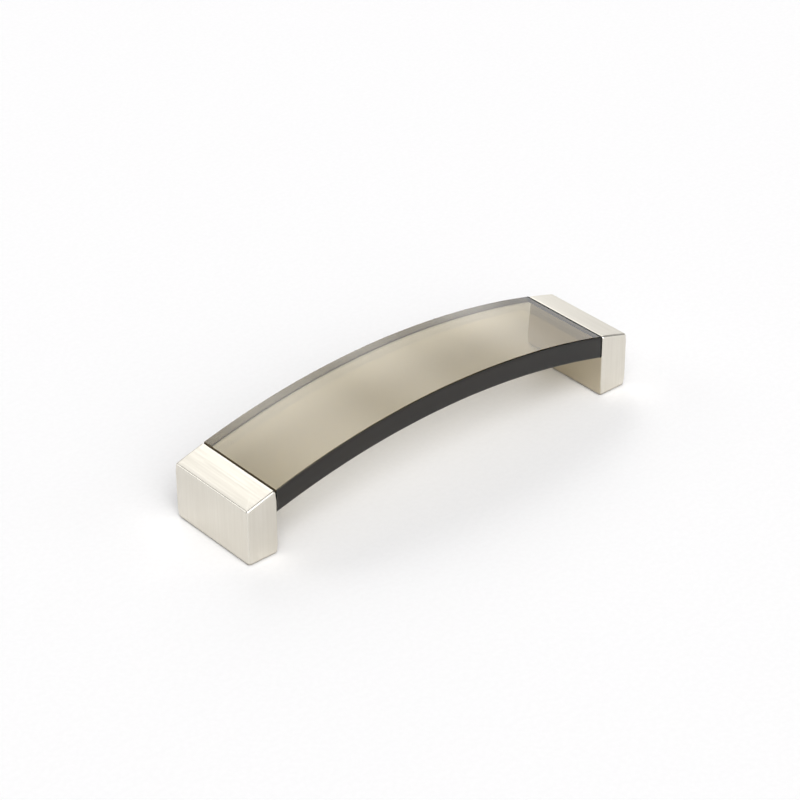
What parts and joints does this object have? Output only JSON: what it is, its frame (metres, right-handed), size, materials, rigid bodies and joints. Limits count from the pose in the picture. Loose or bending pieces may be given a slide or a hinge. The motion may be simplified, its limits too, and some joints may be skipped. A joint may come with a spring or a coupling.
{
  "type": "arch pull",
  "caption": "Cabinet pull with a clear smoked bar, bent to a shallow arc, bonded between satin metal end posts that screw on from behind.",
  "frame": {"origin": "on the mounting surface, midway between the two screw holes", "axes": "+X along the pull, from the left post to the right post; +Y across it; +Z away from the door, out of its face"},
  "size_m": [0.1378, 0.0312, 0.0276],
  "materials": {
    "satin_nickel": "satin nickel plating with a fine upright brushing",
    "smoked_acrylic": "polished clear smoked acrylic, grey with a warm cast"
  },
  "bodies": {
    "root": {"left_post": "satin_nickel", "right_post": "satin_nickel", "arched_bar": "smoked_acrylic"}
  },
  "joints": []
}
